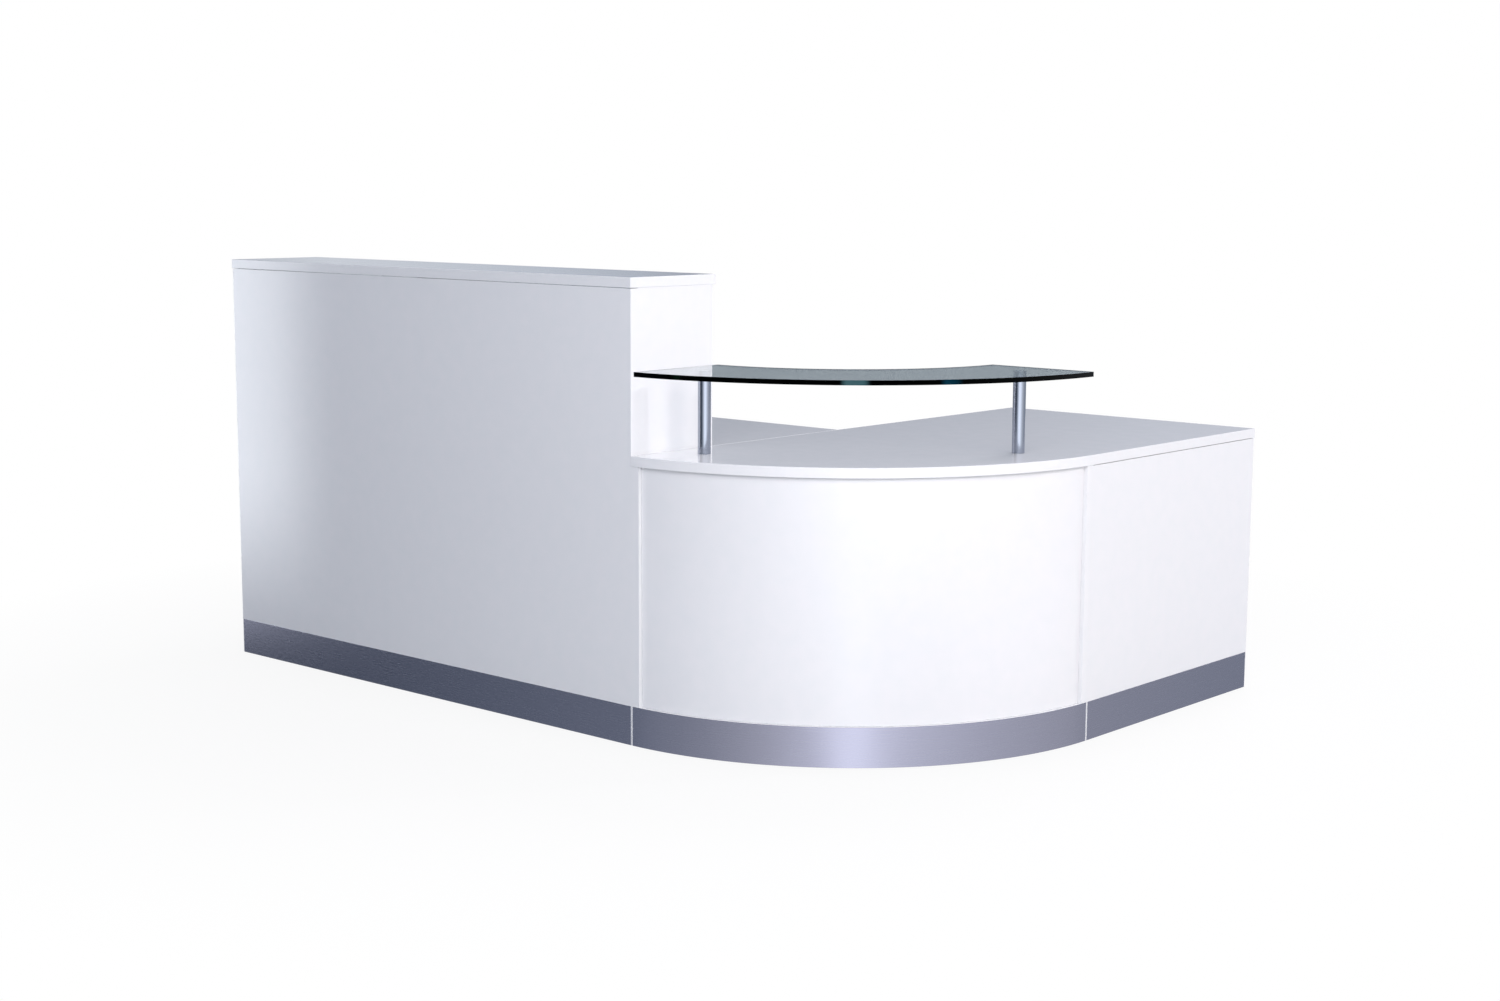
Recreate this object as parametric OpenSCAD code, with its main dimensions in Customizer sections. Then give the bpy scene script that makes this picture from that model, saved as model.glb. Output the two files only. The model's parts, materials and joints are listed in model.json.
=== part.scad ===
// Modular service counter in gloss board: a tall unit with a raised ledge (the hob),
// a quarter-round corner unit with a glass shelf on two posts, and a low return unit.
// X runs along the tall front, Y towards the staff side, Z up. Every piece is drawn from
// the front corner where the tall and corner units meet, and then moved by one shift, so
// that the origin lies on the floor under the middle of the whole counter.

/* [Whole counter] */
// Length of the tall unit along its front
tall_length = 1600; // [1200:10:2400]
// Radius of the quarter-round corner unit
corner_radius = 800; // [700:10:1000]
// Length of the return unit beyond the corner
return_length = 800; // [600:10:1600]
// Height of the hob top above the floor
counter_height = 1150; // [1050:5:1250]
// Height of the worktops above the floor
desk_height = 720; // [680:5:760]
// Depth of the main worktop, from the customer face to the staff edge
desk_depth = 790; // [700:5:900]

/* [Boards] */
// Thickness of the flat gloss boards
board = 25; // [22:1:30]
// Thickness of the bent boards and of their ribs
bent_board = 18; // [15:1:20]
// Thickness of the edging round the tops
edging = 2; // [1:0.5:3]
// How far the tops stand out beyond the customer faces
overhang = 2; // [1:0.5:5]
// Shadow gap between the front panels and the tops
shadow_gap = 1.5; // [0.5:0.5:3]
// Fitting gap between a worktop and what it is notched round
board_gap = 1; // [0.5:0.5:2]

/* [Tall unit] */
// Depth of the hob top, from the customer face to the staff edge
hob_depth = 300; // [260:5:380]
// How far the hob's panels stop short of its staff edge
hob_setback = 10; // [0:1:40]
// How far the gables stop short of the worktops' staff edges
gable_setback = 20; // [5:5:60]
// Depth of the support under the middle of the main worktop
mid_support_depth = 450; // [300:10:600]

/* [Corner unit] */
// How far the curved panel lies behind the gables' front edges
panel_recess = 10; // [2:1:15]
// Depth of the gables on both sides of each seam, so that the corner stays open for knees
seam_gable_depth = 420; // [400:10:500]
// Width of the ribs behind the curved panel
rib_width = 70; // [50:5:100]
// Side of the square cleats at the ends of the curved panel
cleat = 25; // [20:1:35]

/* [Kick] */
// Height of the kick above the floor
kick_height = 100; // [80:5:140]
// Gap between the kick and the floor
kick_floor_gap = 1.5; // [1:0.5:4]
// Thickness of the brushed metal facing
kick_facing = 1; // [0.8:0.1:2]
// Thickness of the white edging on the ends of each kick
kick_band = 2.5; // [1:0.5:4]
// Length, depth and height of the blocks that hold the kicks
kick_block = [40, 20, 60];
// Gap between a kick block and the top of the kick
kick_block_drop = 15; // [10:1:18]

/* [Glass shelf] */
// Thickness of the glass
glass_thickness = 12; // [8:1:15]
// Width of the glass ring, inwards from the corner radius
glass_width = 300; // [220:10:400]
// Gap between the ends of the glass and the planes of the units beside it
glass_end_gap = 10; // [5:1:40]
// Height of the glass underside above the worktop
glass_lift = 192.5; // [140:0.5:300]
// Outer diameter of the posts
post_d = 32; // [28:1:45]
// Wall of the post tube
post_wall = 2; // [1.5:0.5:4]
// Angle along the arc between each post and the end of the arc
post_angle = 8.5; // [7:0.5:20]
// Thickness of the disc on top of a post
cap_disc = 4; // [2:0.5:8]
// Length of the spigot that holds the disc in the tube
cap_spigot = 16; // [12:1:30]
// Thickness of the clear pad between disc and glass
pad_thickness = 1; // [0.5:0.5:3]
// Diameter of the clear pad
pad_d = 28; // [20:1:30]
// Diameter of the threaded rod inside a post
rod_d = 10; // [8:1:12]
// Diameter and thickness of the washer under the worktop
washer = [30, 2];
// Width across corners and height of the nut under the washer
nut = [19, 8];

/* [Corner leg] */
// Diameter of the leg under the seam of the two worktops
leg_d = 50; // [40:1:60]
// Wall of the leg tube, and thickness of its top plate
leg_wall = 3; // [2:0.5:5]
// Side of the leg's square top plate
leg_plate = 110; // [90:5:130]
// Distance from the staff edge of the main worktop to the leg
leg_inset = 75; // [70:5:120]
// Height of the plug at the foot of the leg
leg_plug = 26; // [24:1:40]
// Length across the seam, width and thickness of the plate that joins the worktops
seam_plate = [120, 60, 3];
// Distance of the screws from the edges of the two plates
plate_screw_inset = 15; // [12:1:20]
// Distance from the staff edge of the main worktop to the joining plate
seam_plate_inset = 290; // [200:10:320]

/* [Levelling feet] */
// Diameter of a foot's base
foot_d = 24; // [20:1:25]
// Height of a foot's base
foot_height = 8; // [6:1:12]
// Diameter of a foot's threaded stem
stem_d = 8; // [6:1:10]
// Length of a foot's threaded stem
stem_length = 30; // [20:1:45]
// Outer diameter and length of the threaded insert in a gable
insert = [13, 20];
// Distance of a foot from the end of its gable
foot_inset = 60; // [40:5:90]
// Radial clearance of a stem in its insert
stem_clearance = 0.1; // [0.05:0.05:0.3]

/* [Cable ports] */
// Diameter of the hole bored through the worktop for a port
port_d = 60; // [50:1:80]
// Width of the liner's flange beyond the hole
port_flange = 5; // [3:1:10]
// Thickness of the flange and of the cap
port_plate = 2; // [1.5:0.5:4]
// Wall of the liner
port_wall = 2; // [1.5:0.5:4]
// Width of the ledge that carries the cap
port_ledge = 3; // [2:0.5:5]
// Width of the cable slot in the cap
slot_w = 16; // [12:1:20]
// Length of the cable slot, from the cap's rim inwards
slot_l = 18; // [14:1:24]
// Distance of a port's centre from the tall unit's ends
port_from_end = 400; // [250:10:550]
// Distance of a port's centre behind the hob's staff edge
port_from_hob = 80; // [60:5:200]
// Radial clearance of a lift-out cap in its liner
cap_clearance = 0.4; // [0.3:0.1:0.8]

/* [Fittings] */
// Diameter and thickness of a cam lock
cam = [15, 12.5];
// Distance of a cam's centre from the edge of its board
cam_setback = 24; // [20:1:34]
// Diameter of a cam bolt
cam_bolt_d = 7; // [6:0.5:8]
// How deep a cam bolt screws into the joined board
cam_bolt_grip = 11; // [9:1:13]
// Diameter and length of a dowel
dowel = [8, 30];
// How deep a dowel sits in the joined board
dowel_grip = 12; // [10:1:14]
// Pitch between a dowel and the cam beside it
dowel_pitch = 32; // [25:1:64]
// Distance from the nearest board edge to the first and last cam of a joint
joint_inset = 90; // [70:5:140]
// Diameter of the shank of a bolt between two units
unit_bolt_d = 8; // [6:1:10]
// Diameter and height of that bolt's heads
unit_bolt_head = [17, 3];
// Distance of these bolts from the ends of the corner gables
unit_bolt_inset = 90; // [80:5:140]
// Leg, width and thickness of an angle bracket
bracket = [30, 40, 2];
// Distance of the brackets from the ends of the boards
bracket_inset = 170; // [140:10:240]
// Diameter and length of a bracket screw's shank
screw = [4, 14];
// Diameter and height of a bracket screw's head
screw_head = [8, 2.5];
// Radial clearance round fixed fittings in their bores
bore_gap = 0.2; // [0.1:0.05:0.4]

/* [Hidden] */
$fn = 96;

WHITE = "#f4f5f7";
EDGE_WHITE = "#eceef1";
BRUSHED = "#8b8d98";
SATIN = "#aeb4c0";
GLASS = [0.55, 0.68, 0.68, 0.6];
TIMBER = "#c9a877";
ZINC = "#b5b8bb";
BLACK_PLASTIC = "#2b2c2e";
GREY_PLASTIC = "#a9adb1";

// How far a cutting shape passes the faces it cuts
over = 1;

// Levels
hob_under = counter_height - board;
desk_under = desk_height - board;
glass_under = desk_height + glass_lift;
post_top = glass_under - pad_thickness - cap_disc;

// Planes of the tall unit, of the return unit and of the mid support
tall_x0 = -tall_length;
mid_x0 = -(tall_length + board) / 2;
hob_panel_y1 = hob_depth - hob_setback;
gable_y1 = desk_depth - gable_setback;
return_y1 = corner_radius + return_length;

// Radii of the corner unit, from the arc's centre
panel_r = corner_radius - panel_recess;
kick_back_r = corner_radius - bent_board;
rib_r = panel_r - bent_board - bore_gap;
post_r = corner_radius - glass_width / 2;
top_r = corner_radius + overhang;

// Reach of a bracket's screws from its corner, and of a rod beyond its nut
screw_reach = bracket[0] * 0.6;
rod_end = 2;

// Places of the joint fittings: [position, rotation, side that the cam opens to]
function front_joint(x, z, side) = [[x, board, z], [0, 0, 0], side];
function hob_joint(x, y, side) = [[x, y, hob_under], [-90, 0, 0], side];
function return_joint(y, z, side) = [[corner_radius - board, y, z], [0, 0, 90], side];
left_mid = tall_x0 + board / 2;
right_mid = -board / 2;
centre_mid = mid_x0 + board / 2;
low_heights = [kick_height + joint_inset, desk_under - joint_inset];
high_height = hob_under - joint_inset;
hob_joint_ys = [board + joint_inset, hob_panel_y1 - joint_inset];
LEFT_END_JOINTS = concat(
    [for (z = concat(low_heights, [high_height])) front_joint(left_mid, z, 1)],
    [for (y = hob_joint_ys) hob_joint(left_mid, y, 1)]);
RIGHT_END_JOINTS = concat(
    [for (z = concat(low_heights, [high_height])) front_joint(right_mid, z, -1)],
    [for (y = hob_joint_ys) hob_joint(right_mid, y, -1)]);
MID_JOINTS = [for (z = low_heights) front_joint(centre_mid, z, 1)];
DIVIDER_JOINTS = concat(
    [front_joint(centre_mid, high_height, 1)],
    [for (y = hob_joint_ys) hob_joint(centre_mid, y, 1)]);
NEAR_JOINTS = [for (z = low_heights) return_joint(corner_radius + board / 2, z, 1)];
FAR_JOINTS = [for (z = low_heights) return_joint(return_y1 - board / 2, z, -1)];
TALL_JOINTS = concat(LEFT_END_JOINTS, RIGHT_END_JOINTS, MID_JOINTS, DIVIDER_JOINTS);
RETURN_JOINTS = concat(NEAR_JOINTS, FAR_JOINTS);

// Places of the angle brackets: [inner corner under the worktop, turn about Z]
main_bracket_ys = [hob_depth + bracket_inset, gable_y1 - bracket_inset];
MAIN_BRACKETS = concat(
    [for (y = main_bracket_ys) [[tall_x0 + board, y, desk_under], 0]],
    [[[-board, (hob_depth + seam_gable_depth) / 2, desk_under], 180]],
    [[[mid_x0 + board, mid_support_depth - bracket_inset, desk_under], 0]]);
corner_bracket_y = seam_gable_depth - bracket_inset;
CORNER_BRACKETS = [
    [[board, corner_bracket_y, desk_under], 0],
    [[corner_radius - corner_bracket_y, corner_radius - board, desk_under], -90]];
RETURN_BRACKETS = concat(
    [[[corner_radius - corner_bracket_y, corner_radius + board, desk_under], 90]],
    [for (x = [bracket_inset, corner_radius - bracket_inset])
        [[x, return_y1 - board, desk_under], -90]]);

// Places of the corner leg and of the joining plate, both on the seam at x = 0
leg_y = desk_depth - leg_inset;
seam_plate_y = desk_depth - seam_plate_inset;
// Places of the levelling feet, under the middle of each gable's thickness
corner_foot_ys = [foot_inset, seam_gable_depth - foot_inset];
FEET = [
    ["foot_tall_left_front", [left_mid, board + foot_inset]],
    ["foot_tall_left_back", [left_mid, gable_y1 - foot_inset]],
    ["foot_tall_right_front", [right_mid, board + foot_inset]],
    ["foot_tall_right_back", [right_mid, seam_gable_depth - foot_inset]],
    ["foot_corner_left_front", [board / 2, corner_foot_ys[0]]],
    ["foot_corner_left_back", [board / 2, corner_foot_ys[1]]],
    ["foot_corner_right_front",
        [corner_radius - corner_foot_ys[0], corner_radius - board / 2]],
    ["foot_corner_right_back",
        [corner_radius - corner_foot_ys[1], corner_radius - board / 2]],
    ["foot_return_near_front",
        [corner_radius - board - foot_inset, corner_radius + board / 2]],
    ["foot_return_near_back",
        [corner_radius - corner_foot_ys[1], corner_radius + board / 2]],
    ["foot_return_far_front",
        [corner_radius - board - foot_inset, return_y1 - board / 2]],
    ["foot_return_far_back", [gable_setback + foot_inset, return_y1 - board / 2]],
    ["foot_corner_leg", [0, leg_y]]];

// Where the kicks and their edging end beside the planes where the units meet
band_end = board_gap / 2;
kick_end = kick_band + band_end;

// Places of the cable ports
port_y = hob_depth + port_from_hob;
port_xs = [tall_x0 + port_from_end, -port_from_end];

// ---------------------------------------------------------------- shared shapes

// Moves the whole counter from its front corner to its own origin
module in_place() {
    translate([(tall_length - corner_radius) / 2, -(corner_radius + return_length) / 2, 0])
        children();
}

// A board between two opposite corners
module slab(low, high) {
    translate(low) cube(high - low);
}

// A cylinder about the corner's arc centre
module arc_cylinder(r, z0, z1) {
    translate([0, corner_radius, z0]) cylinder(r = r, h = z1 - z0, $fn = 240);
}

// The part of a ring about the arc centre that lies between two flat ends: one at
// x = end, the other as far from the plane where the return unit starts
module quarter_ring(r_out, r_in, z0, z1, end) {
    intersection() {
        difference() {
            arc_cylinder(r_out, z0, z1);
            arc_cylinder(r_in, z0 - over, z1 + over);
        }
        slab([end, -corner_radius, z0 - over],
            [2 * corner_radius, corner_radius - end, z1 + over]);
    }
}

// A tube standing on z = 0
module tube(d, wall, h) {
    difference() {
        cylinder(d = d, h = h);
        translate([0, 0, -over]) cylinder(d = d - 2 * wall, h = h + 2 * over);
    }
}

// A hole for a post's rod through something of one thickness
module rod_hole(thickness) {
    translate([0, 0, -over])
        cylinder(d = rod_d + 2 * bore_gap, h = thickness + 2 * over);
}

// Swaps the two ends of the arc
module swap_ends() {
    translate([corner_radius, corner_radius, 0]) mirror([1, 1, 0]) children();
}

// Draws its children at a post's foot and at the other post's foot
module at_left_post(z) {
    translate([post_r * sin(post_angle), corner_radius - post_r * cos(post_angle), z])
        children();
}

module at_posts(z) {
    at_left_post(z) children();
    swap_ends() at_left_post(z) children();
}

// ---------------------------------------------------------------- fittings

// Draws its children at each joint: the joint plane is y = 0, the board that holds the
// cam lies at y > 0 about x = 0, and the cam opens towards +X
module at_joints(joints) {
    for (j = joints)
        translate(j[0]) rotate(j[1]) rotate([0, j[2] < 0 ? 180 : 0, 0]) children();
}

module cam_lock(gap) {
    translate([board / 2 - cam[1] - gap, cam_setback, 0]) rotate([0, 90, 0])
        cylinder(d = cam[0] + 2 * gap, h = cam[1] + gap + (gap > 0 ? over : 0));
}

module cam_bolt(gap) {
    shank = cam_setback - cam[0] / 2 - bore_gap;
    translate([0, -cam_bolt_grip - gap, 0]) rotate([-90, 0, 0])
        cylinder(d = cam_bolt_d + 2 * gap, h = cam_bolt_grip + shank + 2 * gap);
}

module joint_dowel(gap) {
    translate([0, -dowel_grip - gap, dowel_pitch]) rotate([-90, 0, 0])
        cylinder(d = dowel[0] + 2 * gap, h = dowel[1] + 2 * gap);
}

module joint_bores(joints) {
    at_joints(joints) {
        cam_lock(bore_gap);
        cam_bolt(bore_gap);
        joint_dowel(bore_gap);
    }
}

// Draws its children at each bracket: the worktop is above z = 0 and the gable is at
// x < 0
module at_brackets(places) {
    for (p = places) translate(p[0]) rotate([0, 0, p[1]]) children();
}

// Draws its children at the two screws of a bracket, pointing along +Z into the board
module at_screws() {
    translate([screw_reach, 0, -bracket[2]]) children();
    translate([bracket[2], 0, -screw_reach]) rotate([0, -90, 0]) children();
}

// A screw hole through a plate of one thickness
module plate_hole(thickness) {
    translate([0, 0, -over])
        cylinder(d = screw[0] + 2 * bore_gap, h = thickness + 2 * over);
}

module angle_bracket() {
    difference() {
        union() {
            slab([0, -bracket[1] / 2, -bracket[2]], [bracket[0], bracket[1] / 2, 0]);
            slab([0, -bracket[1] / 2, -bracket[0]], [bracket[2], bracket[1] / 2, 0]);
        }
        at_screws() plate_hole(bracket[2]);
    }
}

module bracket_screw() {
    translate([0, 0, -screw_head[1]]) cylinder(d = screw_head[0], h = screw_head[1]);
    cylinder(d = screw[0], h = screw[1]);
}

// Draws its children at the four screws of a plate under the seam, pointing up
module at_plate_screws(y, size) {
    for (x = [-1, 1] * (size[0] / 2 - plate_screw_inset))
        for (dy = [-1, 1] * (size[1] / 2 - plate_screw_inset))
            translate([x, y + dy, desk_under - size[2]]) children();
}

module at_all_plate_screws() {
    at_plate_screws(leg_y, [leg_plate, leg_plate, leg_wall]) children();
    at_plate_screws(seam_plate_y, seam_plate) children();
}

// A plate under the seam of the worktops, with holes for its screws
module under_seam_plate(y, size) {
    difference() {
        slab([-size[0] / 2, y - size[1] / 2, desk_under - size[2]],
            [size[0] / 2, y + size[1] / 2, desk_under]);
        at_plate_screws(y, size) plate_hole(size[2]);
    }
}

module screw_bore() {
    cylinder(d = screw[0] + 2 * bore_gap, h = screw[1] + bore_gap);
}

module screw_bores(places) {
    at_brackets(places) at_screws() screw_bore();
}

// Bolts through the left corner gable and the tall unit's end panel, along X
module at_left_unit_bolts() {
    for (y = [unit_bolt_inset, seam_gable_depth - unit_bolt_inset])
        for (z = low_heights) translate([0, y, z]) rotate([0, 90, 0]) children();
}

module unit_bolt_bores() {
    at_left_unit_bolts()
        cylinder(d = unit_bolt_d + 2 * bore_gap, h = 2 * (board + over), center = true);
}

// The bore for a levelling foot's insert and stem, up from the foot of a gable
module foot_bore(at) {
    translate([at[0], at[1], foot_height - over]) {
        cylinder(d = insert[0] + 2 * bore_gap, h = insert[1] + over);
        cylinder(d = stem_d + 2 * over, h = stem_length + 2 * over);
    }
}

module foot_bores(first, last) {
    for (i = [first:last]) foot_bore(FEET[i][1]);
}

// ---------------------------------------------------------------- tall unit

// A top board without the edging round it, and that edging
module hob_top_block(inset) {
    slab([tall_x0 - overhang + inset, -overhang + inset, hob_under],
        [overhang - inset, hob_depth - inset, counter_height]);
}

module hob_top() {
    color(WHITE) in_place() difference() {
        hob_top_block(edging);
        joint_bores([for (j = TALL_JOINTS) if (j[1][0] != 0) j]);
    }
}

module hob_top_edging() {
    color(EDGE_WHITE) in_place() difference() {
        hob_top_block(0);
        slab([tall_x0 - overhang + edging, -overhang + edging, hob_under - over],
            [overhang - edging, hob_depth - edging, counter_height + over]);
    }
}

module tall_front_panel() {
    color(WHITE) in_place() difference() {
        slab([tall_x0, 0, kick_height], [0, board, hob_under - shadow_gap]);
        joint_bores([for (j = TALL_JOINTS) if (j[1][0] == 0) j]);
    }
}

// A stepped end panel: deeper under the worktop than beside the hob
module end_panel(x0, low_y1) {
    slab([x0, board, foot_height], [x0 + board, hob_panel_y1, hob_under]);
    slab([x0, board, foot_height], [x0 + board, low_y1, desk_under]);
}

module tall_end_left() {
    color(WHITE) in_place() difference() {
        end_panel(tall_x0, gable_y1);
        joint_bores(LEFT_END_JOINTS);
        screw_bores(MAIN_BRACKETS);
        foot_bores(0, 1);
    }
}

module tall_end_right() {
    color(WHITE) in_place() difference() {
        end_panel(-board, seam_gable_depth);
        joint_bores(RIGHT_END_JOINTS);
        screw_bores(MAIN_BRACKETS);
        unit_bolt_bores();
        foot_bores(2, 3);
    }
}

module hob_divider() {
    color(WHITE) in_place() difference() {
        slab([mid_x0, board, desk_height], [mid_x0 + board, hob_panel_y1, hob_under]);
        joint_bores(DIVIDER_JOINTS);
    }
}

module desk_mid_support() {
    color(WHITE) in_place() difference() {
        slab([mid_x0, board, foot_height],
            [mid_x0 + board, mid_support_depth, desk_under]);
        joint_bores(MID_JOINTS);
        screw_bores(MAIN_BRACKETS);
    }
}

// The main worktop: notched round the end panels beside the hob, whole behind it
module main_worktop_block() {
    slab([tall_x0 + board + board_gap, board, desk_under],
        [-board - board_gap, hob_depth, desk_height]);
    slab([tall_x0 - overhang + edging, hob_panel_y1 + board_gap, desk_under],
        [-board_gap / 2, desk_depth - edging, desk_height]);
}

module main_worktop() {
    color(WHITE) in_place() difference() {
        main_worktop_block();
        screw_bores(MAIN_BRACKETS);
        at_all_plate_screws() screw_bore();
        for (x = port_xs) translate([x, port_y, desk_under - over])
            cylinder(d = port_d, h = board + 2 * over);
    }
}

module main_worktop_edging() {
    color(EDGE_WHITE) in_place() {
        slab([tall_x0 - overhang, hob_panel_y1 + board_gap, desk_under],
            [tall_x0 - overhang + edging, desk_depth, desk_height]);
        slab([tall_x0 - overhang, desk_depth - edging, desk_under],
            [-board_gap / 2, desk_depth, desk_height]);
    }
}

// ---------------------------------------------------------------- corner unit

module corner_gable() {
    notch = bent_board + board_gap;
    difference() {
        intersection() {
            slab([0, -over, foot_height], [board, seam_gable_depth, desk_under]);
            arc_cylinder(corner_radius, foot_height - over, desk_under + over);
        }
        slab([-over, -2 * over, foot_height - over], [board + over, notch, kick_height]);
        unit_bolt_bores();
    }
}

module corner_gable_left() {
    color(WHITE) in_place() difference() {
        corner_gable();
        screw_bores(CORNER_BRACKETS);
        foot_bores(4, 5);
    }
}

module corner_gable_right() {
    color(WHITE) in_place() difference() {
        swap_ends() corner_gable();
        screw_bores(CORNER_BRACKETS);
        foot_bores(6, 7);
    }
}

module curved_front_panel() {
    color(WHITE) in_place()
        quarter_ring(panel_r, panel_r - bent_board, kick_height,
            desk_under - shadow_gap, board + board_gap / 2);
}

// The rib under the worktop, and the one behind the top of the kick
module curved_ribs() {
    color(TIMBER) in_place() {
        quarter_ring(rib_r, rib_r - rib_width, desk_under - bent_board, desk_under, board);
        quarter_ring(kick_back_r - bore_gap, rib_r - rib_width,
            kick_height - bent_board, kick_height, board);
    }
}

// Cleats between the ribs, fixed to the gables, that the panel's ends are fixed to
module left_cleat() {
    intersection() {
        slab([board, 0, kick_height],
            [board + cleat, corner_radius - rib_r + cleat, desk_under - bent_board]);
        arc_cylinder(rib_r, kick_height, desk_under);
    }
}

module curved_panel_cleats() {
    color(TIMBER) in_place() {
        left_cleat();
        swap_ends() left_cleat();
    }
}

module curved_kick() {
    color(TIMBER) in_place()
        quarter_ring(corner_radius - kick_facing - bore_gap / 2, kick_back_r,
            kick_floor_gap, kick_height, kick_end);
}

module curved_kick_facing() {
    color(BRUSHED) in_place()
        quarter_ring(corner_radius, corner_radius - kick_facing, kick_floor_gap,
            kick_height, kick_end);
}

// ---------------------------------------------------------------- return unit

module return_front_panel() {
    color(WHITE) in_place() difference() {
        slab([corner_radius - board, corner_radius, kick_height],
            [corner_radius, return_y1, desk_under - shadow_gap]);
        joint_bores(RETURN_JOINTS);
    }
}

module return_gable(x0, y0) {
    slab([x0, y0, foot_height], [corner_radius - board, y0 + board, desk_under]);
}

module return_gable_near() {
    color(WHITE) in_place() difference() {
        return_gable(corner_radius - seam_gable_depth, corner_radius);
        joint_bores(NEAR_JOINTS);
        screw_bores(RETURN_BRACKETS);
        swap_ends() unit_bolt_bores();
        foot_bores(8, 9);
    }
}

module return_gable_far() {
    color(WHITE) in_place() difference() {
        return_gable(gable_setback, return_y1 - board);
        joint_bores(FAR_JOINTS);
        screw_bores(RETURN_BRACKETS);
        foot_bores(10, 11);
    }
}

// The worktop that covers the corner and the return in one piece
module corner_return_block(inset, z0, z1) {
    intersection() {
        arc_cylinder(top_r - inset, z0, z1);
        slab([board_gap / 2 + inset, -overhang, z0], [top_r, corner_radius, z1]);
    }
    slab([board_gap / 2 + inset, corner_radius, z0],
        [top_r - inset, return_y1 + overhang - inset, z1]);
}

module corner_return_worktop() {
    color(WHITE) in_place() difference() {
        corner_return_block(edging, desk_under, desk_height);
        screw_bores(CORNER_BRACKETS);
        screw_bores(RETURN_BRACKETS);
        at_all_plate_screws() screw_bore();
        at_posts(desk_under) rod_hole(board);
    }
}

module corner_return_edging() {
    color(EDGE_WHITE) in_place() difference() {
        corner_return_block(0, desk_under, desk_height);
        corner_return_block(edging, desk_under - over, desk_height + over);
    }
}

// A tube welded to a square plate, under the staff end of the seam
module corner_leg() {
    color(SATIN) in_place() {
        translate([0, leg_y, foot_height])
            tube(leg_d, leg_wall, desk_under - leg_wall - foot_height);
        under_seam_plate(leg_y, [leg_plate, leg_plate, leg_wall]);
    }
}

module corner_leg_plug() {
    color(BLACK_PLASTIC) in_place() difference() {
        translate([0, leg_y, foot_height])
            cylinder(d = leg_d - 2 * leg_wall - 2 * bore_gap, h = leg_plug);
        foot_bores(12, 12);
    }
}

// ---------------------------------------------------------------- kick

module tall_kick() {
    color(TIMBER) in_place()
        slab([tall_x0 + kick_band, kick_facing, kick_floor_gap],
            [-kick_end, board, kick_height]);
}

module tall_kick_facing() {
    color(BRUSHED) in_place()
        slab([tall_x0 + kick_band, 0, kick_floor_gap],
            [-kick_end, kick_facing, kick_height]);
}

module return_kick() {
    color(TIMBER) in_place()
        slab([corner_radius - board, corner_radius + kick_end, kick_floor_gap],
            [corner_radius - kick_facing, return_y1 - kick_band, kick_height]);
}

module return_kick_facing() {
    color(BRUSHED) in_place()
        slab([corner_radius - kick_facing, corner_radius + kick_end, kick_floor_gap],
            [corner_radius, return_y1 - kick_band, kick_height]);
}

// The edging at the left end of the curved kick
module curved_kick_band() {
    intersection() {
        slab([band_end, -over, kick_floor_gap], [kick_end, bent_board, kick_height]);
        arc_cylinder(corner_radius, kick_floor_gap, kick_height);
    }
}

module kick_end_bands() {
    color(EDGE_WHITE) in_place() {
        for (x = [tall_x0, -kick_end])
            slab([x, 0, kick_floor_gap], [x + kick_band, board, kick_height]);
        curved_kick_band();
        swap_ends() curved_kick_band();
        for (y = [corner_radius + band_end, return_y1 - kick_band])
            slab([corner_radius - board, y, kick_floor_gap],
                [corner_radius, y + kick_band, kick_height]);
    }
}

module kick_blocks() {
    z0 = kick_height - kick_block_drop - kick_block[2];
    color(TIMBER) in_place() {
        for (x = [tall_x0 + board, mid_x0 + board, -board - kick_block[0]])
            translate([x, board, z0]) cube(kick_block);
        for (y = [corner_radius + board, return_y1 - board - kick_block[0]])
            translate([corner_radius - board, y, z0]) rotate([0, 0, 90]) cube(kick_block);
    }
}

// ---------------------------------------------------------------- glass shelf

module glass_shelf() {
    color(GLASS) in_place()
        quarter_ring(corner_radius, corner_radius - glass_width, glass_under,
            glass_under + glass_thickness, glass_end_gap);
}

module posts() {
    color(SATIN) in_place() at_posts(desk_height)
        tube(post_d, post_wall, post_top - desk_height);
}

// A disc with a spigot that is pressed into the tube and screwed onto the rod
module post_caps() {
    color(SATIN) in_place() at_posts(post_top) difference() {
        union() {
            cylinder(d = post_d, h = cap_disc);
            translate([0, 0, -cap_spigot])
                cylinder(d = post_d - 2 * post_wall - 2 * bore_gap, h = cap_spigot);
        }
        translate([0, 0, -cap_spigot - over])
            cylinder(d = rod_d + 2 * bore_gap, h = cap_spigot + over + bore_gap);
    }
}

module glass_pads() {
    color(GLASS) in_place() at_posts(glass_under - pad_thickness)
        cylinder(d = pad_d, h = pad_thickness);
}

// A rod from the nut under the worktop up into the cap
module post_rods() {
    z0 = desk_under - washer[1] - nut[1] - rod_end;
    color(ZINC) in_place() at_posts(z0) cylinder(d = rod_d, h = post_top - z0);
}

module post_washers() {
    color(ZINC) in_place() at_posts(desk_under - washer[1]) difference() {
        cylinder(d = washer[0], h = washer[1]);
        rod_hole(washer[1]);
    }
}

module post_nuts() {
    color(ZINC) in_place() at_posts(desk_under - washer[1] - nut[1]) difference() {
        cylinder(d = nut[0], h = nut[1], $fn = 6);
        rod_hole(nut[1]);
    }
}

// ---------------------------------------------------------------- fittings as pieces

module unit_bolt() {
    cylinder(d = unit_bolt_d, h = 2 * board, center = true);
    for (side = [-1, 1])
        translate([0, 0, side * (board + unit_bolt_head[1] / 2)])
            cylinder(d = unit_bolt_head[0], h = unit_bolt_head[1], center = true);
}

module unit_bolts() {
    color(ZINC) in_place() {
        at_left_unit_bolts() unit_bolt();
        swap_ends() at_left_unit_bolts() unit_bolt();
    }
}

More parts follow.
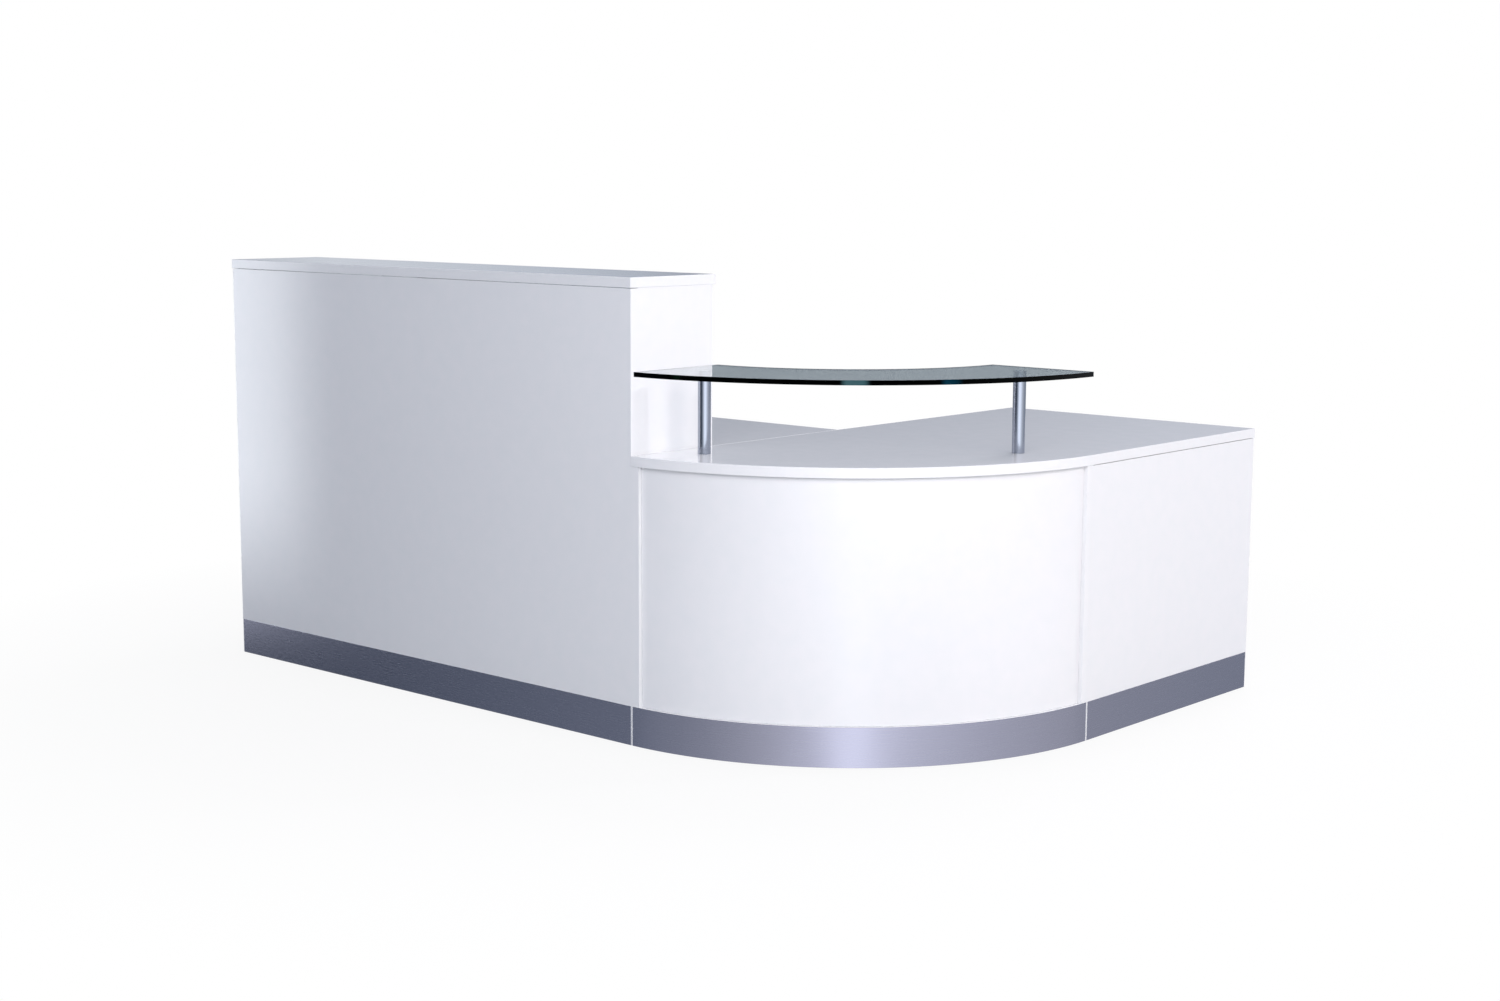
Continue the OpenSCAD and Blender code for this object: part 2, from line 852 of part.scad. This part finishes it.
module cam_locks() {
    color(ZINC) in_place() at_joints(concat(TALL_JOINTS, RETURN_JOINTS)) cam_lock(0);
}

module cam_bolts() {
    color(ZINC) in_place() at_joints(concat(TALL_JOINTS, RETURN_JOINTS)) cam_bolt(0);
}

module dowels() {
    color(TIMBER) in_place() at_joints(concat(TALL_JOINTS, RETURN_JOINTS)) joint_dowel(0);
}

// The angle brackets, and the flat plate that joins the two worktops
module worktop_brackets() {
    color(ZINC) in_place() {
        at_brackets(concat(MAIN_BRACKETS, CORNER_BRACKETS, RETURN_BRACKETS))
            angle_bracket();
        under_seam_plate(seam_plate_y, seam_plate);
    }
}

module bracket_screws() {
    color(ZINC) in_place() {
        at_brackets(concat(MAIN_BRACKETS, CORNER_BRACKETS, RETURN_BRACKETS))
            at_screws() bracket_screw();
        at_all_plate_screws() bracket_screw();
    }
}

// ---------------------------------------------------------------- levelling feet

module foot_inserts() {
    color(ZINC) in_place() for (f = FEET)
        translate([f[1][0], f[1][1], foot_height]) difference() {
            cylinder(d = insert[0], h = insert[1]);
            translate([0, 0, -over])
                cylinder(d = stem_d + 2 * stem_clearance, h = insert[1] + 2 * over);
        }
}

module levelling_foot(at) {
    color(BLACK_PLASTIC) in_place() translate([at[0], at[1], 0]) {
        cylinder(d = foot_d, h = foot_height);
        cylinder(d = stem_d, h = foot_height + stem_length);
    }
}

// ---------------------------------------------------------------- cable ports

port_r = port_d / 2 - bore_gap;
cap_r = port_r - port_wall - cap_clearance;

module cable_port_liners() {
    color(GREY_PLASTIC) in_place() for (x = port_xs) translate([x, port_y, desk_height]) {
        difference() {
            union() {
                cylinder(r = port_d / 2 + port_flange, h = port_plate);
                translate([0, 0, -board]) cylinder(r = port_r, h = board);
            }
            translate([0, 0, -board - over])
                cylinder(r = port_r - port_wall - port_ledge, h = 2 * board);
            cylinder(r = port_r - port_wall, h = board);
            translate([0, 0, -board - over])
                cylinder(r = port_r - port_wall, h = board + over - port_plate);
        }
    }
}

// A lift-out cap, open at its staff side for cables
module cable_port_cap(x) {
    color(GREY_PLASTIC) in_place() translate([x, port_y, desk_height]) difference() {
        cylinder(r = cap_r, h = port_plate);
        slab([-slot_w / 2, cap_r - slot_l, -over], [slot_w / 2, cap_r + over, port_plate + over]);
    }
}

module cable_port_cap_left() {
    cable_port_cap(port_xs[0]);
}

module cable_port_cap_right() {
    cable_port_cap(port_xs[1]);
}

// ---------------------------------------------------------------- the counter

hob_top();
hob_top_edging();
tall_front_panel();
tall_end_left();
tall_end_right();
hob_divider();
desk_mid_support();
main_worktop();
main_worktop_edging();
tall_kick();
tall_kick_facing();
corner_gable_left();
corner_gable_right();
curved_front_panel();
curved_ribs();
curved_panel_cleats();
curved_kick();
curved_kick_facing();
return_front_panel();
return_gable_near();
return_gable_far();
return_kick();
return_kick_facing();
corner_return_worktop();
corner_return_edging();
corner_leg();
corner_leg_plug();
kick_end_bands();
kick_blocks();
glass_shelf();
posts();
post_caps();
glass_pads();
post_rods();
post_washers();
post_nuts();
unit_bolts();
cam_locks();
cam_bolts();
dowels();
worktop_brackets();
bracket_screws();
foot_inserts();
cable_port_liners();
cable_port_cap_left();
cable_port_cap_right();
for (f = FEET) levelling_foot(f[1]);
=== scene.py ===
import bpy
import json
import math
from mathutils import Matrix, Vector

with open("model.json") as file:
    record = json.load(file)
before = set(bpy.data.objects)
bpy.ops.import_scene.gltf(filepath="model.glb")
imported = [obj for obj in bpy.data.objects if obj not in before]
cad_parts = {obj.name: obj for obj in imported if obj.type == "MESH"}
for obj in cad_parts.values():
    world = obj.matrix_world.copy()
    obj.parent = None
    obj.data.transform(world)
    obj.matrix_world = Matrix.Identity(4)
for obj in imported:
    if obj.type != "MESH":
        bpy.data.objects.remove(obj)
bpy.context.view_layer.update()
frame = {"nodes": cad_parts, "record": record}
nodes = frame["nodes"]

MM = 0.001
CORNER = Vector((0.4, 0.0, 0.0))      # the axis of the rounded corner


# ------------------------------------------------------------------ small helpers

def linear(hex_colour):
    """An sRGB hex colour as linear RGBA."""
    parts = [int(hex_colour[i:i + 2], 16) / 255 for i in (1, 3, 5)]
    return [p / 12.92 if p <= 0.04045 else ((p + 0.055) / 1.055) ** 2.4 for p in parts] + [1.0]


def add_node(tree, kind, sockets=None, **settings):
    """Adds one node. sockets maps an input's name or number to a value or to another node's
    output. The inputs of a colour Mix node are 0 for the share, and 6 and 7 for the colours."""
    node = tree.nodes.new(kind)
    for name, value in settings.items():
        setattr(node, name, value)
    for name, value in (sockets or {}).items():
        if isinstance(value, bpy.types.NodeSocket):
            tree.links.new(value, node.inputs[name])
        else:
            node.inputs[name].default_value = value
    return node


def new_material(name):
    """A material with a Principled shader on its output, and the object's own coordinates in metres."""
    material = bpy.data.materials.new(name)
    material.use_nodes = True
    tree = material.node_tree
    tree.nodes.clear()
    shader = add_node(tree, "ShaderNodeBsdfPrincipled")
    add_node(tree, "ShaderNodeOutputMaterial", {"Surface": shader.outputs[0]})
    place = add_node(tree, "ShaderNodeTexCoord").outputs["Object"]
    return material, tree, shader, place


def per_metre(size_mm):
    """The texture scale that gives features of this size."""
    return 1 / (size_mm * MM)


def share_round_corner(tree, place, first, last):
    """0 to 1 from the first to the last azimuth round the corner's axis, in degrees. Azimuth
    0 is straight out from the tall front, and 90 is straight out from the return."""
    out = add_node(tree, "ShaderNodeVectorMath", {0: place, 1: CORNER}, operation="SUBTRACT")
    split = add_node(tree, "ShaderNodeSeparateXYZ", {0: out.outputs[0]})
    front = add_node(tree, "ShaderNodeMath", {0: split.outputs[1], 1: -1.0}, operation="MULTIPLY")
    turn = add_node(tree, "ShaderNodeMath", {0: split.outputs[0], 1: front.outputs[0]}, operation="ARCTAN2")
    return add_node(tree, "ShaderNodeMapRange", {
        "Value": turn.outputs[0], "From Min": math.radians(first), "From Max": math.radians(last)}).outputs[0]


def set_stops(ramp, stops):
    """Gives a colour ramp these (position, colour) stops."""
    ramp.elements.remove(ramp.elements[1])
    for i, (position, colour) in enumerate(stops):
        stop = ramp.elements[0] if i == 0 else ramp.elements.new(position)
        stop.position = position
        stop.color = colour


def any_ray(tree, kinds):
    """1 for these kinds of ray, and 0 for the others."""
    path = add_node(tree, "ShaderNodeLightPath")
    total = path.outputs[kinds[0]]
    for kind in kinds[1:]:
        either = add_node(tree, "ShaderNodeMath", {0: total, 1: path.outputs[kind]}, operation="MAXIMUM")
        total = either.outputs[0]
    return total


def shade(tree, shader, pattern, colours, roughness, relief_mm=0.0):
    """Lets a grey pattern of about 0.3 to 0.7 drive the colour, the roughness and a slight relief."""
    level = add_node(tree, "ShaderNodeMapRange", {"Value": pattern, "From Min": 0.3, "From Max": 0.7})
    tone = add_node(tree, "ShaderNodeMix", {
        0: level.outputs[0], 6: linear(colours[0]), 7: linear(colours[1])}, data_type="RGBA")
    tree.links.new(tone.outputs[2], shader.inputs["Base Color"])
    polish = add_node(tree, "ShaderNodeMapRange", {
        "Value": level.outputs[0], "To Min": roughness[0], "To Max": roughness[1]})
    tree.links.new(polish.outputs[0], shader.inputs["Roughness"])
    if relief_mm:
        relief = add_node(tree, "ShaderNodeBump", {"Height": pattern, "Distance": relief_mm * MM})
        tree.links.new(relief.outputs[0], shader.inputs["Normal"])


# ------------------------------------------------------------------ camera

def make_camera():
    """Stands in front of the corner, a little to its right, and looks slightly down."""
    place = (4.0806, -4.5305, 1.3786)
    turn, tilt, roll = 41.461, 81.6775, 0.2786      # degrees
    lens = bpy.data.cameras.new("camera")
    lens.sensor_width = 36
    lens.lens = 52.371
    lens.clip_end = 100
    camera = bpy.data.objects.new("camera", lens)
    bpy.context.scene.collection.objects.link(camera)
    camera.matrix_world = (
        Matrix.Translation(place)
        @ Matrix.Rotation(math.radians(turn), 4, "Z")
        @ Matrix.Rotation(math.radians(tilt), 4, "X")
        @ Matrix.Rotation(math.radians(roll), 4, "Z"))
    bpy.context.scene.camera = camera


make_camera()
bpy.context.scene.view_settings.view_transform = "Standard"


# ------------------------------------------------------------------ finishes

def gloss_white_board():
    """Particle board with a high-gloss white melamine face, pressed against a polished
    plate: nearly flat white, with clear reflections and the plate's faint waviness."""
    material, tree, shader, place = new_material("gloss white melamine board")
    waves = add_node(tree, "ShaderNodeTexNoise", {"Vector": place, "Scale": per_metre(40), "Detail": 1.0})
    shade(tree, shader, waves.outputs[0], ("#ecedee", "#eeeeef"), (0.07, 0.09), relief_mm=0.01)
    shader.inputs["IOR"].default_value = 1.5
    return material


def white_abs_edging():
    """Gloss white ABS edging, extruded, glued on and buffed: a little softer in its
    reflections than the board beside it."""
    material, tree, shader, place = new_material("gloss white ABS edging")
    buffing = add_node(tree, "ShaderNodeTexNoise", {"Vector": place, "Scale": per_metre(12), "Detail": 1.0})
    shade(tree, shader, buffing.outputs[0], ("#ecedee", "#eeeeef"), (0.12, 0.16), relief_mm=0.01)
    shader.inputs["IOR"].default_value = 1.53
    return material


def brushed_aluminium_facing():
    """Aluminium sheet brushed along its length: the grain spreads reflections and shows
    as faint level streaks. Real grain is about 0.1 mm wide, and is drawn at 2 mm."""
    material, tree, shader, place = new_material("brushed aluminium facing")
    along = add_node(tree, "ShaderNodeMapping", {"Vector": place, "Scale": (0.02, 0.02, 1.0)})
    grain = add_node(tree, "ShaderNodeTexNoise", {
        "Vector": along.outputs[0], "Scale": per_metre(2), "Detail": 3.0})
    shade(tree, shader, grain.outputs[0], ("#a1a0b0", "#a3a2b2"), (0.25, 0.28), relief_mm=0.004)
    shader.inputs["Metallic"].default_value = 1.0
    return material


def anodised_aluminium():
    """Aluminium tube, drawn and satin anodised: even grey metal whose reflections run
    together. The draw lines along it are about 0.1 mm wide, and are drawn at 1 mm."""
    material, tree, shader, place = new_material("satin anodised aluminium")
    along = add_node(tree, "ShaderNodeMapping", {"Vector": place, "Scale": (1.0, 1.0, 0.02)})
    lines = add_node(tree, "ShaderNodeTexNoise", {
        "Vector": along.outputs[0], "Scale": per_metre(1), "Detail": 2.0})
    shade(tree, shader, lines.outputs[0], ("#a2a7b3", "#a5aab6"), (0.15, 0.17))
    shader.inputs["Metallic"].default_value = 1.0
    return material


# Painted glints on the glass's rounded edge, over its painted near-black shade: degrees round the corner, and
# colour
PAINTED_EDGE_GLINTS = [(0, "#010202"), (9, "#010202"), (10, "#04160b"), (11, "#010202"), (39, "#010202"),
                (40, "#3b585c"), (43, "#37565a"), (44, "#010202"), (56, "#010202"), (57, "#062d3c"),
                (59, "#04222e"), (60, "#010202")]


def toughened_glass():
    """Clear float glass, toughened, with a polished edge. The broad faces are clear and mirror the room at a
    low angle.
    The edge is painted nearly black, a painted shade for the dark room it would show, with painted teal
    glints along it. Light for what is below goes straight through."""
    material, tree, shader, place = new_material("clear toughened glass")
    facing = add_node(tree, "ShaderNodeSeparateXYZ", {
        0: add_node(tree, "ShaderNodeTexCoord").outputs["Normal"]})
    upright = add_node(tree, "ShaderNodeMath", {0: facing.outputs[2]}, operation="ABSOLUTE")
    edge = add_node(tree, "ShaderNodeMath", {0: upright.outputs[0], 1: 0.5}, operation="LESS_THAN")
    # The edge faces carry painted shade and painted glints; the broad faces keep the glass's own tint.
    painted_glints = add_node(tree, "ShaderNodeValToRGB", {
        "Fac": share_round_corner(tree, place, 0, 90)})
    set_stops(painted_glints.color_ramp, [(degrees / 90, linear(colour)) for degrees, colour in PAINTED_EDGE_GLINTS])
    tint_and_painted_edge = add_node(tree, "ShaderNodeMix", {
        0: edge.outputs[0], 6: linear("#c2cccf"), 7: painted_glints.outputs[0]}, data_type="RGBA")
    tree.links.new(tint_and_painted_edge.outputs[2], shader.inputs["Base Color"])
    broad = add_node(tree, "ShaderNodeMath", {0: 1.0, 1: edge.outputs[0]}, operation="SUBTRACT")
    tree.links.new(broad.outputs[0], shader.inputs["Transmission Weight"])
    tree.links.new(broad.outputs[0], shader.inputs["Specular Tint"])
    shader.inputs["Roughness"].default_value = 0.0
    shader.inputs["IOR"].default_value = 1.52
    open_way = add_node(tree, "ShaderNodeBsdfTransparent", {"Color": linear("#ffffff")})
    both = add_node(tree, "ShaderNodeMixShader", {
        0: any_ray(tree, ("Is Shadow Ray", "Is Diffuse Ray")), 1: shader.outputs[0], 2: open_way.outputs[0]})
    tree.links.new(both.outputs[0], tree.nodes["Material Output"].inputs["Surface"])
    return material


def birch_plywood():
    """Bare sanded birch plywood and beech dowel: warm, with grain drawn out along the
    board about 4 mm wide."""
    material, tree, shader, place = new_material("bare birch plywood")
    along = add_node(tree, "ShaderNodeMapping", {"Vector": place, "Scale": (0.1, 0.1, 1.0)})
    grain = add_node(tree, "ShaderNodeTexNoise", {
        "Vector": along.outputs[0], "Scale": per_metre(4), "Detail": 4.0})
    shade(tree, shader, grain.outputs[0], ("#c4a373", "#dcc298"), (0.55, 0.7), relief_mm=0.1)
    return material


def zinc_plated_steel():
    """Bright zinc plate on pressed and turned steel: a cool grey metal, cloudy where the
    passivation varies."""
    material, tree, shader, place = new_material("zinc plated steel")
    cloud = add_node(tree, "ShaderNodeTexNoise", {"Vector": place, "Scale": per_metre(6), "Detail": 3.0})
    shade(tree, shader, cloud.outputs[0], ("#a9adb2", "#c4c7ca"), (0.28, 0.42))
    shader.inputs["Metallic"].default_value = 1.0
    return material


def silver_powder_coat():
    """Silver powder coat on steel tube: metal flake under a lightly pebbled skin. The
    pebbles are about 1 mm, and are drawn at 2 mm."""
    material, tree, shader, place = new_material("silver powder coated steel")
    pebbles = add_node(tree, "ShaderNodeTexNoise", {"Vector": place, "Scale": per_metre(2), "Detail": 2.0})
    shade(tree, shader, pebbles.outputs[0], ("#a9acb0", "#b9bbbf"), (0.38, 0.46), relief_mm=0.05)
    shader.inputs["Metallic"].default_value = 0.6
    return material


def moulded_plastic(name, colours):
    """Injection moulded in a spark-eroded tool: matt, with a grain of about 1 mm."""
    material, tree, shader, place = new_material(name)
    grain = add_node(tree, "ShaderNodeTexNoise", {"Vector": place, "Scale": per_metre(1), "Detail": 2.0})
    shade(tree, shader, grain.outputs[0], colours, (0.4, 0.5), relief_mm=0.03)
    shader.inputs["IOR"].default_value = 1.5
    return material


def clear_silicone():
    """Clear silicone pad, cut from sheet: a soft and slightly milky jelly."""
    material, tree, shader, place = new_material("clear silicone")
    milk = add_node(tree, "ShaderNodeTexNoise", {"Vector": place, "Scale": per_metre(5), "Detail": 1.0})
    shade(tree, shader, milk.outputs[0], ("#dfe6e6", "#e8eded"), (0.25, 0.35))
    shader.inputs["IOR"].default_value = 1.41
    shader.inputs["Transmission Weight"].default_value = 0.6
    return material


finishes = {
    "gloss_board": gloss_white_board(),
    "edge_band": white_abs_edging(),
    "brushed_facing": brushed_aluminium_facing(),
    "raw_board": birch_plywood(),
    "satin_aluminium": anodised_aluminium(),
    "coated_steel": silver_powder_coat(),
    "clear_glass": toughened_glass(),
    "clear_pad": clear_silicone(),
    "zinc_fittings": zinc_plated_steel(),
    "port_plastic": moulded_plastic("light grey moulded ABS", ("#a5a9ad", "#aeb2b5")),
    "black_plastic": moulded_plastic("black moulded polypropylene", ("#1c1c1d", "#242425")),
}

# Radius of the softened edges, in millimetres, by finish. The glass keeps its true flat faces.
edge_radius = {
    "gloss_board": 1.0, "edge_band": 1.0, "brushed_facing": 0.3, "raw_board": 0.4,
    "satin_aluminium": 0.5, "coated_steel": 0.5, "clear_pad": 0.2, "zinc_fittings": 0.4,
    "port_plastic": 0.5, "black_plastic": 0.6,
}


def finish_cad_pieces():
    """Gives each carried-over piece its finish and softened edges."""
    for row in frame["record"]["subparts"]:
        piece = nodes[row["node"]]
        slot = row["material_slot"]
        for place in piece.material_slots:
            place.material = finishes[slot]
        if slot not in edge_radius:
            continue
        weld = piece.modifiers.new("joined corners", "WELD")
        weld.merge_threshold = 0.01 * MM
        bevel = piece.modifiers.new("softened edges", "BEVEL")
        bevel.width = edge_radius[slot] * MM
        bevel.segments = 2
        bevel.limit_method = "ANGLE"
        bevel.angle_limit = math.radians(40)
        bevel.use_clamp_overlap = True
        smooth = piece.modifiers.new("even shading", "WEIGHTED_NORMAL")
        smooth.keep_sharp = False
        smooth.weight = 100


finish_cad_pieces()


# ------------------------------------------------------------------ studio

CAMERA_SIDE_RAYS = ("Is Camera Ray", "Is Glossy Ray", "Is Transmission Ray")
WHITE = (1.0, 1.0, 1.0, 1.0)
EVEN_LIGHT = (0.35, 0.38, 0.45, 1.0)        # what the white walls give the object
FLOOR_GREY = (0.62, 0.62, 0.62, 1.0)        # how much light the floor throws back
FLOOR_SEEN = (0.8, 0.8, 0.8, 1.0)           # the floor itself, where its shadow shows
SHADOW_REACH = (1.2, 2.6)                   # metres over which the shadow fades into white
WHITE_NEAR_BY = 0.88                        # how white the floor already is in the shadow


def round_the_corner(azimuth, distance, height):
    """A place this far from the corner's axis, at this azimuth."""
    turn = math.radians(azimuth)
    return CORNER + Vector((distance * math.sin(turn), -distance * math.cos(turn), height))


def make_world():
    """White behind everything, and a dimmer, slightly cool even light on the object."""
    world = bpy.data.worlds.new("studio light")
    bpy.context.scene.world = world
    world.use_nodes = True
    tree = world.node_tree
    tree.nodes.clear()
    seen = add_node(tree, "ShaderNodeMix", {
        0: any_ray(tree, CAMERA_SIDE_RAYS), 6: EVEN_LIGHT, 7: WHITE}, data_type="RGBA")
    background = add_node(tree, "ShaderNodeBackground", {"Color": seen.outputs[2], "Strength": 1.0})
    add_node(tree, "ShaderNodeOutputWorld", {"Surface": background.outputs[0]})


def make_floor():
    """A pale floor that goes into the white behind, and keeps a soft shadow."""
    reach = 40      # metres each way
    mesh = bpy.data.meshes.new("floor")
    mesh.from_pydata([(x * reach, y * reach, 0) for x, y in ((-1, -1), (1, -1), (1, 1), (-1, 1))],
                     [], [(0, 1, 2, 3)])
    floor = bpy.data.objects.new("floor", mesh)
    bpy.context.scene.collection.objects.link(floor)
    material = bpy.data.materials.new("pale studio floor")
    material.use_nodes = True
    tree = material.node_tree
    tree.nodes.clear()
    matt = add_node(tree, "ShaderNodeBsdfDiffuse", {"Color": FLOOR_GREY})
    shown = add_node(tree, "ShaderNodeBsdfDiffuse", {"Color": FLOOR_SEEN})
    white = add_node(tree, "ShaderNodeEmission", {"Color": WHITE, "Strength": 1.0})
    place = add_node(tree, "ShaderNodeTexCoord").outputs["Object"]
    away = add_node(tree, "ShaderNodeVectorMath", {0: place}, operation="LENGTH")
    share = add_node(tree, "ShaderNodeMapRange", {
        "Value": away.outputs["Value"], "From Min": SHADOW_REACH[0], "From Max": SHADOW_REACH[1],
        "To Min": WHITE_NEAR_BY, "To Max": 1.0})
    pale = add_node(tree, "ShaderNodeMixShader", {
        0: share.outputs[0], 1: shown.outputs[0], 2: white.outputs[0]})
    both = add_node(tree, "ShaderNodeMixShader", {
        0: any_ray(tree, CAMERA_SIDE_RAYS), 1: matt.outputs[0], 2: pale.outputs[0]})
    add_node(tree, "ShaderNodeOutputMaterial", {"Surface": both.outputs[0]})
    mesh.materials.append(material)
    floor.visible_glossy = False


def softbox(name, azimuth, distance, height, size, radiance, colour):
    """A rectangular softbox that faces the corner at half the counter's height. The ring of
    cards stands in for it in reflections."""
    width, tall = size
    lamp = bpy.data.lights.new(name, "AREA")
    lamp.shape = "RECTANGLE"
    lamp.size = width
    lamp.size_y = tall
    lamp.energy = radiance * width * tall * math.pi
    lamp.color = colour
    box = bpy.data.objects.new(name, lamp)
    bpy.context.scene.collection.objects.link(box)
    place = round_the_corner(azimuth, distance, height)
    away = (place - round_the_corner(0, 0, 0.6)).normalized()
    box.matrix_world = Matrix.Translation(place) @ away.to_track_quat("Z", "Y").to_matrix().to_4x4()
    box.visible_camera = False
    box.visible_glossy = False


# How bright the studio is round the counter, as polished surfaces show it: azimuth in
# degrees and level, near the floor, at the height of the posts, and higher up
BRIGHTEST = 7.0
LOW_CARDS = [(-180, 0.34), (-160, 0.27), (-134, 0.22), (-108, 0.4), (-85, 0.14), (-58, 0.1), (-50, 0.2),
             (-38, 0.34), (-28, 0.46), (-8, 0.57), (14, 0.86), (33, 1.26), (41, 2.1), (47, 2.1), (54, 1.4),
             (64, 1.2), (92, 0.94), (133, 0.72), (146, 0.43)]
HIGH_CARDS = [(-180, 0.3), (-162, 0.26), (-152, 0.19), (-134, 0.17), (-128, 0.32), (-122, 0.42),
              (-108, 0.58), (-85, 0.14), (-62, 0.1), (-60, 6.6), (-56, 3.4), (-54, 0.2), (-40, 0.16),
              (-22, 0.06), (-4, 0.12), (12, 0.45), (28, 1.3), (41, 2.1), (62, 2.1), (76, 1.5), (92, 1.05),
              (113, 0.72), (140, 0.5)]
# Above the lamps in front, the studio is dimmer
TOP_CARDS = [card for card in HIGH_CARDS if card[0] < 20] + [(28, 0.45), (92, 0.55), (140, 0.5)]
# From which height to which height, in metres, a belt of cards takes over from the one below
UPPER_BELTS = [(-0.5, 0.3, HIGH_CARDS), (0.8, 1.2, TOP_CARDS)]


def card_levels(tree, share, levels):
    """A colour for each azimuth, as a part of BRIGHTEST: the darker, the cooler. Even the
    lamps are a little cool."""
    ramp = add_node(tree, "ShaderNodeValToRGB", {"Fac": share})
    stops = []
    for azimuth, level in levels:
        cool = max(0.12, 0.8 - level)
        tint_and_painted_edge = (1 - 0.28 * cool, 1, 1 + 0.4 * cool)
        stops.append(((azimuth + 180) / 360, [c * level / BRIGHTEST for c in tint_and_painted_edge] + [1]))
    set_stops(ramp.color_ramp, stops)
    return ramp.outputs[0]


def make_cards():
    """The studio's dark walls and its lamps, which only polished surfaces show: a ring of
    cards whose brightness changes along it. It goes on below the floor, for what those
    surfaces show when they are looked down on."""
    radius, low, high, steps = 4.0, -2.5, 3.0, 120
    mesh = bpy.data.meshes.new("studio_cards")
    points = [round_the_corner(360 * i / steps, radius, z) for i in range(steps) for z in (low, high)]
    faces = [(2 * i, 2 * i + 1, (2 * i + 3) % (2 * steps), (2 * i + 2) % (2 * steps)) for i in range(steps)]
    mesh.from_pydata(points, [], faces)
    cards = bpy.data.objects.new("studio_cards", mesh)
    bpy.context.scene.collection.objects.link(cards)
    material = bpy.data.materials.new("grey studio cards")
    material.use_nodes = True
    tree = material.node_tree
    tree.nodes.clear()
    place = add_node(tree, "ShaderNodeTexCoord").outputs["Object"]
    share = share_round_corner(tree, place, -180, 180)
    height = add_node(tree, "ShaderNodeSeparateXYZ", {0: place}).outputs[2]
    level = card_levels(tree, share, LOW_CARDS)
    for start, end, belt in UPPER_BELTS:
        above = add_node(tree, "ShaderNodeMapRange", {
            "Value": height, "From Min": start, "From Max": end}, interpolation_type="SMOOTHSTEP")
        both = add_node(tree, "ShaderNodeMix", {
            0: above.outputs[0], 6: level, 7: card_levels(tree, share, belt)}, data_type="RGBA")
        level = both.outputs[2]
    glow = add_node(tree, "ShaderNodeEmission", {"Color": level, "Strength": BRIGHTEST})
    add_node(tree, "ShaderNodeOutputMaterial", {"Surface": glow.outputs[0]})
    mesh.materials.append(material)
    cards.visible_camera = False
    cards.visible_diffuse = False
    cards.visible_transmission = False
    cards.visible_shadow = False


make_world()
make_floor()
make_cards()
softbox("main softbox", azimuth=80, distance=4.5, height=2.5, size=(3.0, 2.0), radiance=3.75,
        colour=(1.0, 0.91, 0.85))
softbox("front softbox", azimuth=36, distance=4.0, height=2.6, size=(3.0, 2.6), radiance=3.6,
        colour=(0.95, 0.95, 1.0))
softbox("back softbox", azimuth=185, distance=3.2, height=4.6, size=(2.0, 2.0), radiance=8.0,
        colour=(1.0, 0.94, 1.0))
softbox("side lamp", azimuth=136, distance=4.5, height=2.0, size=(0.2, 0.2), radiance=350,
        colour=(0.98, 0.97, 1.0))
